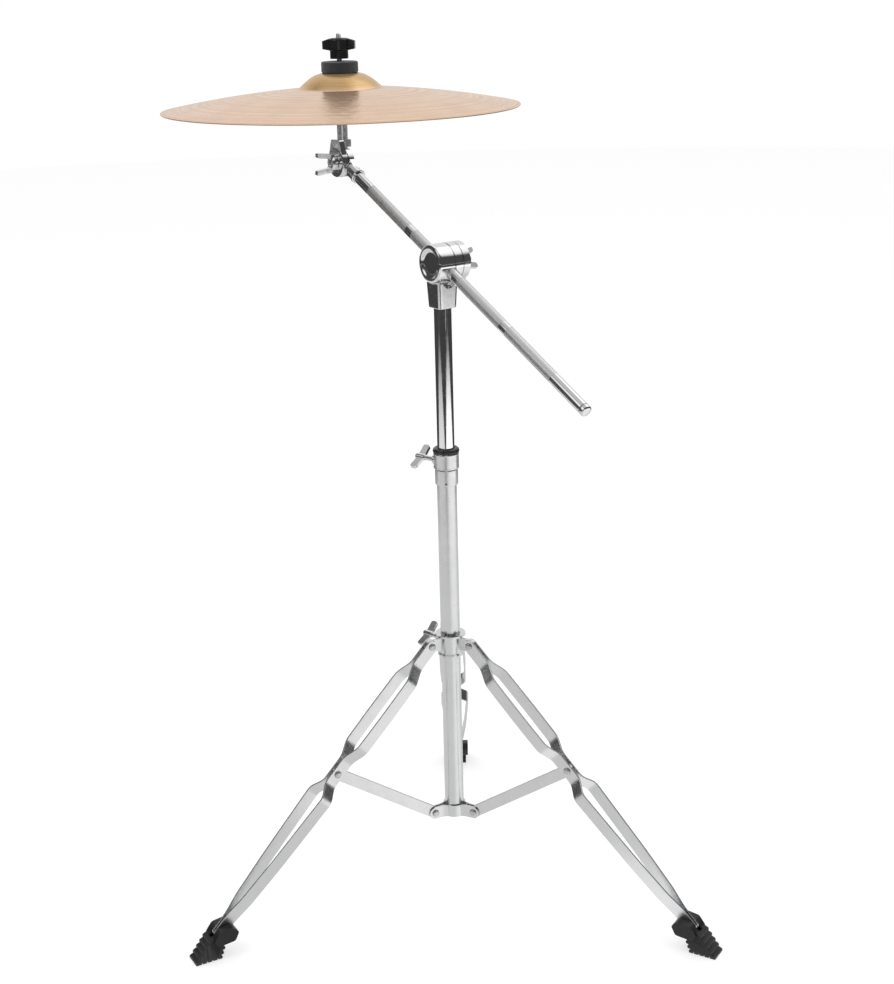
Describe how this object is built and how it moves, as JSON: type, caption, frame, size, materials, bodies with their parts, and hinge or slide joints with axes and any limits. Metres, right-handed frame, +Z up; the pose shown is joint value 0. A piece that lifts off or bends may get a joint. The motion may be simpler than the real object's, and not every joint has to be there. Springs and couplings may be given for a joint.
{
  "type": "crash cymbal on boom stand",
  "caption": "Bronze crash cymbal on a folding, double-braced chrome tripod stand with telescoping column, sliding boom arm and tilter.",
  "frame": {"origin": "centre of the bottom of the bounding box at rest, on the floor plane of the three feet", "axes": "+Z up along the column; the rear leg points along +Y, and the boom rises towards -X +Y"},
  "size_m": [0.6136, 0.5528, 0.9832],
  "materials": {
    "satin_chrome": "satin chrome plate",
    "mirror_chrome": "polished chrome plate",
    "cast_chrome": "chromed casting, softly polished",
    "zinc_steel": "zinc plated",
    "black_rubber": "moulded, matt",
    "black_nylon": "moulded, low sheen",
    "black_felt": "pressed wool felt",
    "cymbal_bronze": "lathed and hammered bronze"
  },
  "bodies": {
    "base": {"lower_tube": "satin_chrome", "left_bracket_plate": "satin_chrome", "right_bracket_plate": "satin_chrome", "rear_bracket_plate": "satin_chrome", "left_bracket_rivet": "zinc_steel", "right_bracket_rivet": "zinc_steel", "rear_bracket_rivet": "zinc_steel", "collar": "satin_chrome"},
    "collar_bolt": {"collar_wing_bolt": "cast_chrome"},
    "hub": {"leg_hub": "satin_chrome", "hub_screw_left": "zinc_steel", "hub_screw_right": "zinc_steel", "left_hub_rivet": "zinc_steel", "right_hub_rivet": "zinc_steel", "rear_hub_rivet": "zinc_steel"},
    "hub_bolt": {"hub_wing_bolt": "cast_chrome"},
    "left_leg": {"left_leg_strap_a": "satin_chrome", "left_leg_strap_b": "satin_chrome", "left_leg_rivet_a": "zinc_steel", "left_leg_rivet_b": "zinc_steel", "left_foot": "black_rubber"},
    "right_leg": {"right_leg_strap_a": "satin_chrome", "right_leg_strap_b": "satin_chrome", "right_leg_rivet_a": "zinc_steel", "right_leg_rivet_b": "zinc_steel", "right_foot": "black_rubber"},
    "rear_leg": {"rear_leg_strap_a": "satin_chrome", "rear_leg_strap_b": "satin_chrome", "rear_leg_rivet_a": "zinc_steel", "rear_leg_rivet_b": "zinc_steel", "rear_foot": "black_rubber"},
    "left_strut": {"left_brace": "satin_chrome"},
    "right_strut": {"right_brace": "satin_chrome"},
    "rear_strut": {"rear_brace": "satin_chrome"},
    "swivel": {"collar_bushing": "black_nylon"},
    "column": {"upper_tube": "mirror_chrome", "boom_yoke": "cast_chrome"},
    "clamp": {"drum_cap": "mirror_chrome", "drum_disc": "mirror_chrome", "clamp_eyebolt": "zinc_steel"},
    "drum_nut": {"drum_wing_nut": "cast_chrome"},
    "boom": {"boom_arm": "mirror_chrome", "boom_end_plug": "cast_chrome"},
    "tilter": {"tilter_base": "cast_chrome"},
    "rod": {"tilter_head": "cast_chrome", "cymbal_rod": "mirror_chrome", "seat_washer": "zinc_steel", "seat_sleeve": "black_nylon"},
    "tilter_bolt": {"tilter_wing_bolt": "cast_chrome"},
    "seat": {"lower_felt": "black_felt", "upper_felt": "black_felt"},
    "cymbal": {"crash_cymbal": "cymbal_bronze"},
    "top_nut": {"top_wing_nut": "black_nylon"}
  },
  "joints": [
    {"name": "hub_slide", "type": "slide", "parent": "base", "child": "hub", "axis": [0, 0, 1], "range_m": [0, 0.112]},
    {"name": "left_leg_fold", "type": "hinge", "parent": "hub", "child": "left_leg", "pos_m": [-0.01408, -0.09187, 0.3102], "axis": [0.5, -0.866, 0], "range_deg": [0, 34.95]},
    {"name": "left_strut_fold", "type": "hinge", "parent": "base", "child": "left_strut", "pos_m": [-0.01503, -0.09242, 0.0982], "axis": [0.5, -0.866, 0], "range_deg": [-44.82, 0]},
    {"name": "right_leg_fold", "type": "hinge", "parent": "hub", "child": "right_leg", "pos_m": [0.0313, -0.09187, 0.3102], "axis": [0.5, 0.866, 0], "range_deg": [0, 34.95]},
    {"name": "right_strut_fold", "type": "hinge", "parent": "base", "child": "right_strut", "pos_m": [0.03226, -0.09242, 0.0982], "axis": [0.5, 0.866, 0], "range_deg": [-44.82, 0]},
    {"name": "rear_leg_fold", "type": "hinge", "parent": "hub", "child": "rear_leg", "pos_m": [0.00861, -0.05257, 0.3102], "axis": [-1, 0, 0], "range_deg": [0, 34.95]},
    {"name": "rear_strut_fold", "type": "hinge", "parent": "base", "child": "rear_strut", "pos_m": [0.00861, -0.05147, 0.0982], "axis": [-1, 0, 0], "range_deg": [-44.82, 0]},
    {"name": "hub_bolt_spin", "type": "hinge", "parent": "hub", "child": "hub_bolt", "pos_m": [0.00861, -0.07877, 0.3116], "axis": [-0.766, 0.6428, 0], "continuous": true},
    {"name": "collar_bolt_spin", "type": "hinge", "parent": "base", "child": "collar_bolt", "pos_m": [0.00861, -0.07877, 0.527], "axis": [-0.8192, 0.5736, 0], "continuous": true},
    {"name": "column_swivel", "type": "hinge", "parent": "base", "child": "swivel", "pos_m": [0.00861, -0.07877, 0.52], "axis": [0, 0, 1], "continuous": true},
    {"name": "column_height", "type": "slide", "parent": "swivel", "child": "column", "axis": [0, 0, 1], "range_m": [-0.15, 0.18]},
    {"name": "boom_tilt", "type": "hinge", "parent": "column", "child": "clamp", "pos_m": [0.00861, -0.07877, 0.7496], "axis": [-0.8044, -0.5941, 0], "range_deg": [-20, 45]},
    {"name": "drum_nut_spin", "type": "hinge", "parent": "clamp", "child": "drum_nut", "pos_m": [0.00861, -0.07877, 0.7496], "axis": [-0.8044, -0.5941, 0], "continuous": true},
    {"name": "boom_slide", "type": "slide", "parent": "clamp", "child": "boom", "axis": [-0.5347, 0.7239, 0.436], "range_m": [-0.1, 0.18]},
    {"name": "boom_roll", "type": "hinge", "parent": "boom", "child": "tilter", "pos_m": [-0.10367, 0.07325, 0.84116], "axis": [-0.5347, 0.7239, 0.436], "range_deg": [-25, 25]},
    {"name": "tilter_hinge", "type": "hinge", "parent": "tilter", "child": "rod", "pos_m": [-0.10367, 0.07325, 0.84116], "axis": [-0.8044, -0.5941, 0], "range_deg": [-22, 45]},
    {"name": "tilter_bolt_spin", "type": "hinge", "parent": "rod", "child": "tilter_bolt", "pos_m": [-0.10367, 0.07325, 0.84116], "axis": [-0.8044, -0.5941, 0], "continuous": true},
    {"name": "cymbal_sway", "type": "hinge", "parent": "rod", "child": "seat", "pos_m": [-0.10367, 0.07325, 0.93976], "axis": [-0.8044, -0.5941, 0], "range_deg": [-8, 8], "deforming": ["lower_felt", "upper_felt"]},
    {"name": "cymbal_spin", "type": "hinge", "parent": "seat", "child": "cymbal", "pos_m": [-0.10367, 0.07325, 0.93976], "axis": [0, 0, 1], "continuous": true},
    {"name": "top_nut_spin", "type": "hinge", "parent": "rod", "child": "top_nut", "pos_m": [-0.10367, 0.07325, 0.93976], "axis": [0, 0, 1], "continuous": true}
  ],
  "couplings": [
    {"joint": "left_leg_fold", "follows": "hub_slide", "rad_per_m": 5.431},
    {"joint": "left_strut_fold", "follows": "hub_slide", "rad_per_m": -6.9693},
    {"joint": "right_leg_fold", "follows": "hub_slide", "rad_per_m": 5.431},
    {"joint": "right_strut_fold", "follows": "hub_slide", "rad_per_m": -6.9693},
    {"joint": "rear_leg_fold", "follows": "hub_slide", "rad_per_m": 5.431},
    {"joint": "rear_strut_fold", "follows": "hub_slide", "rad_per_m": -6.9693}
  ]
}
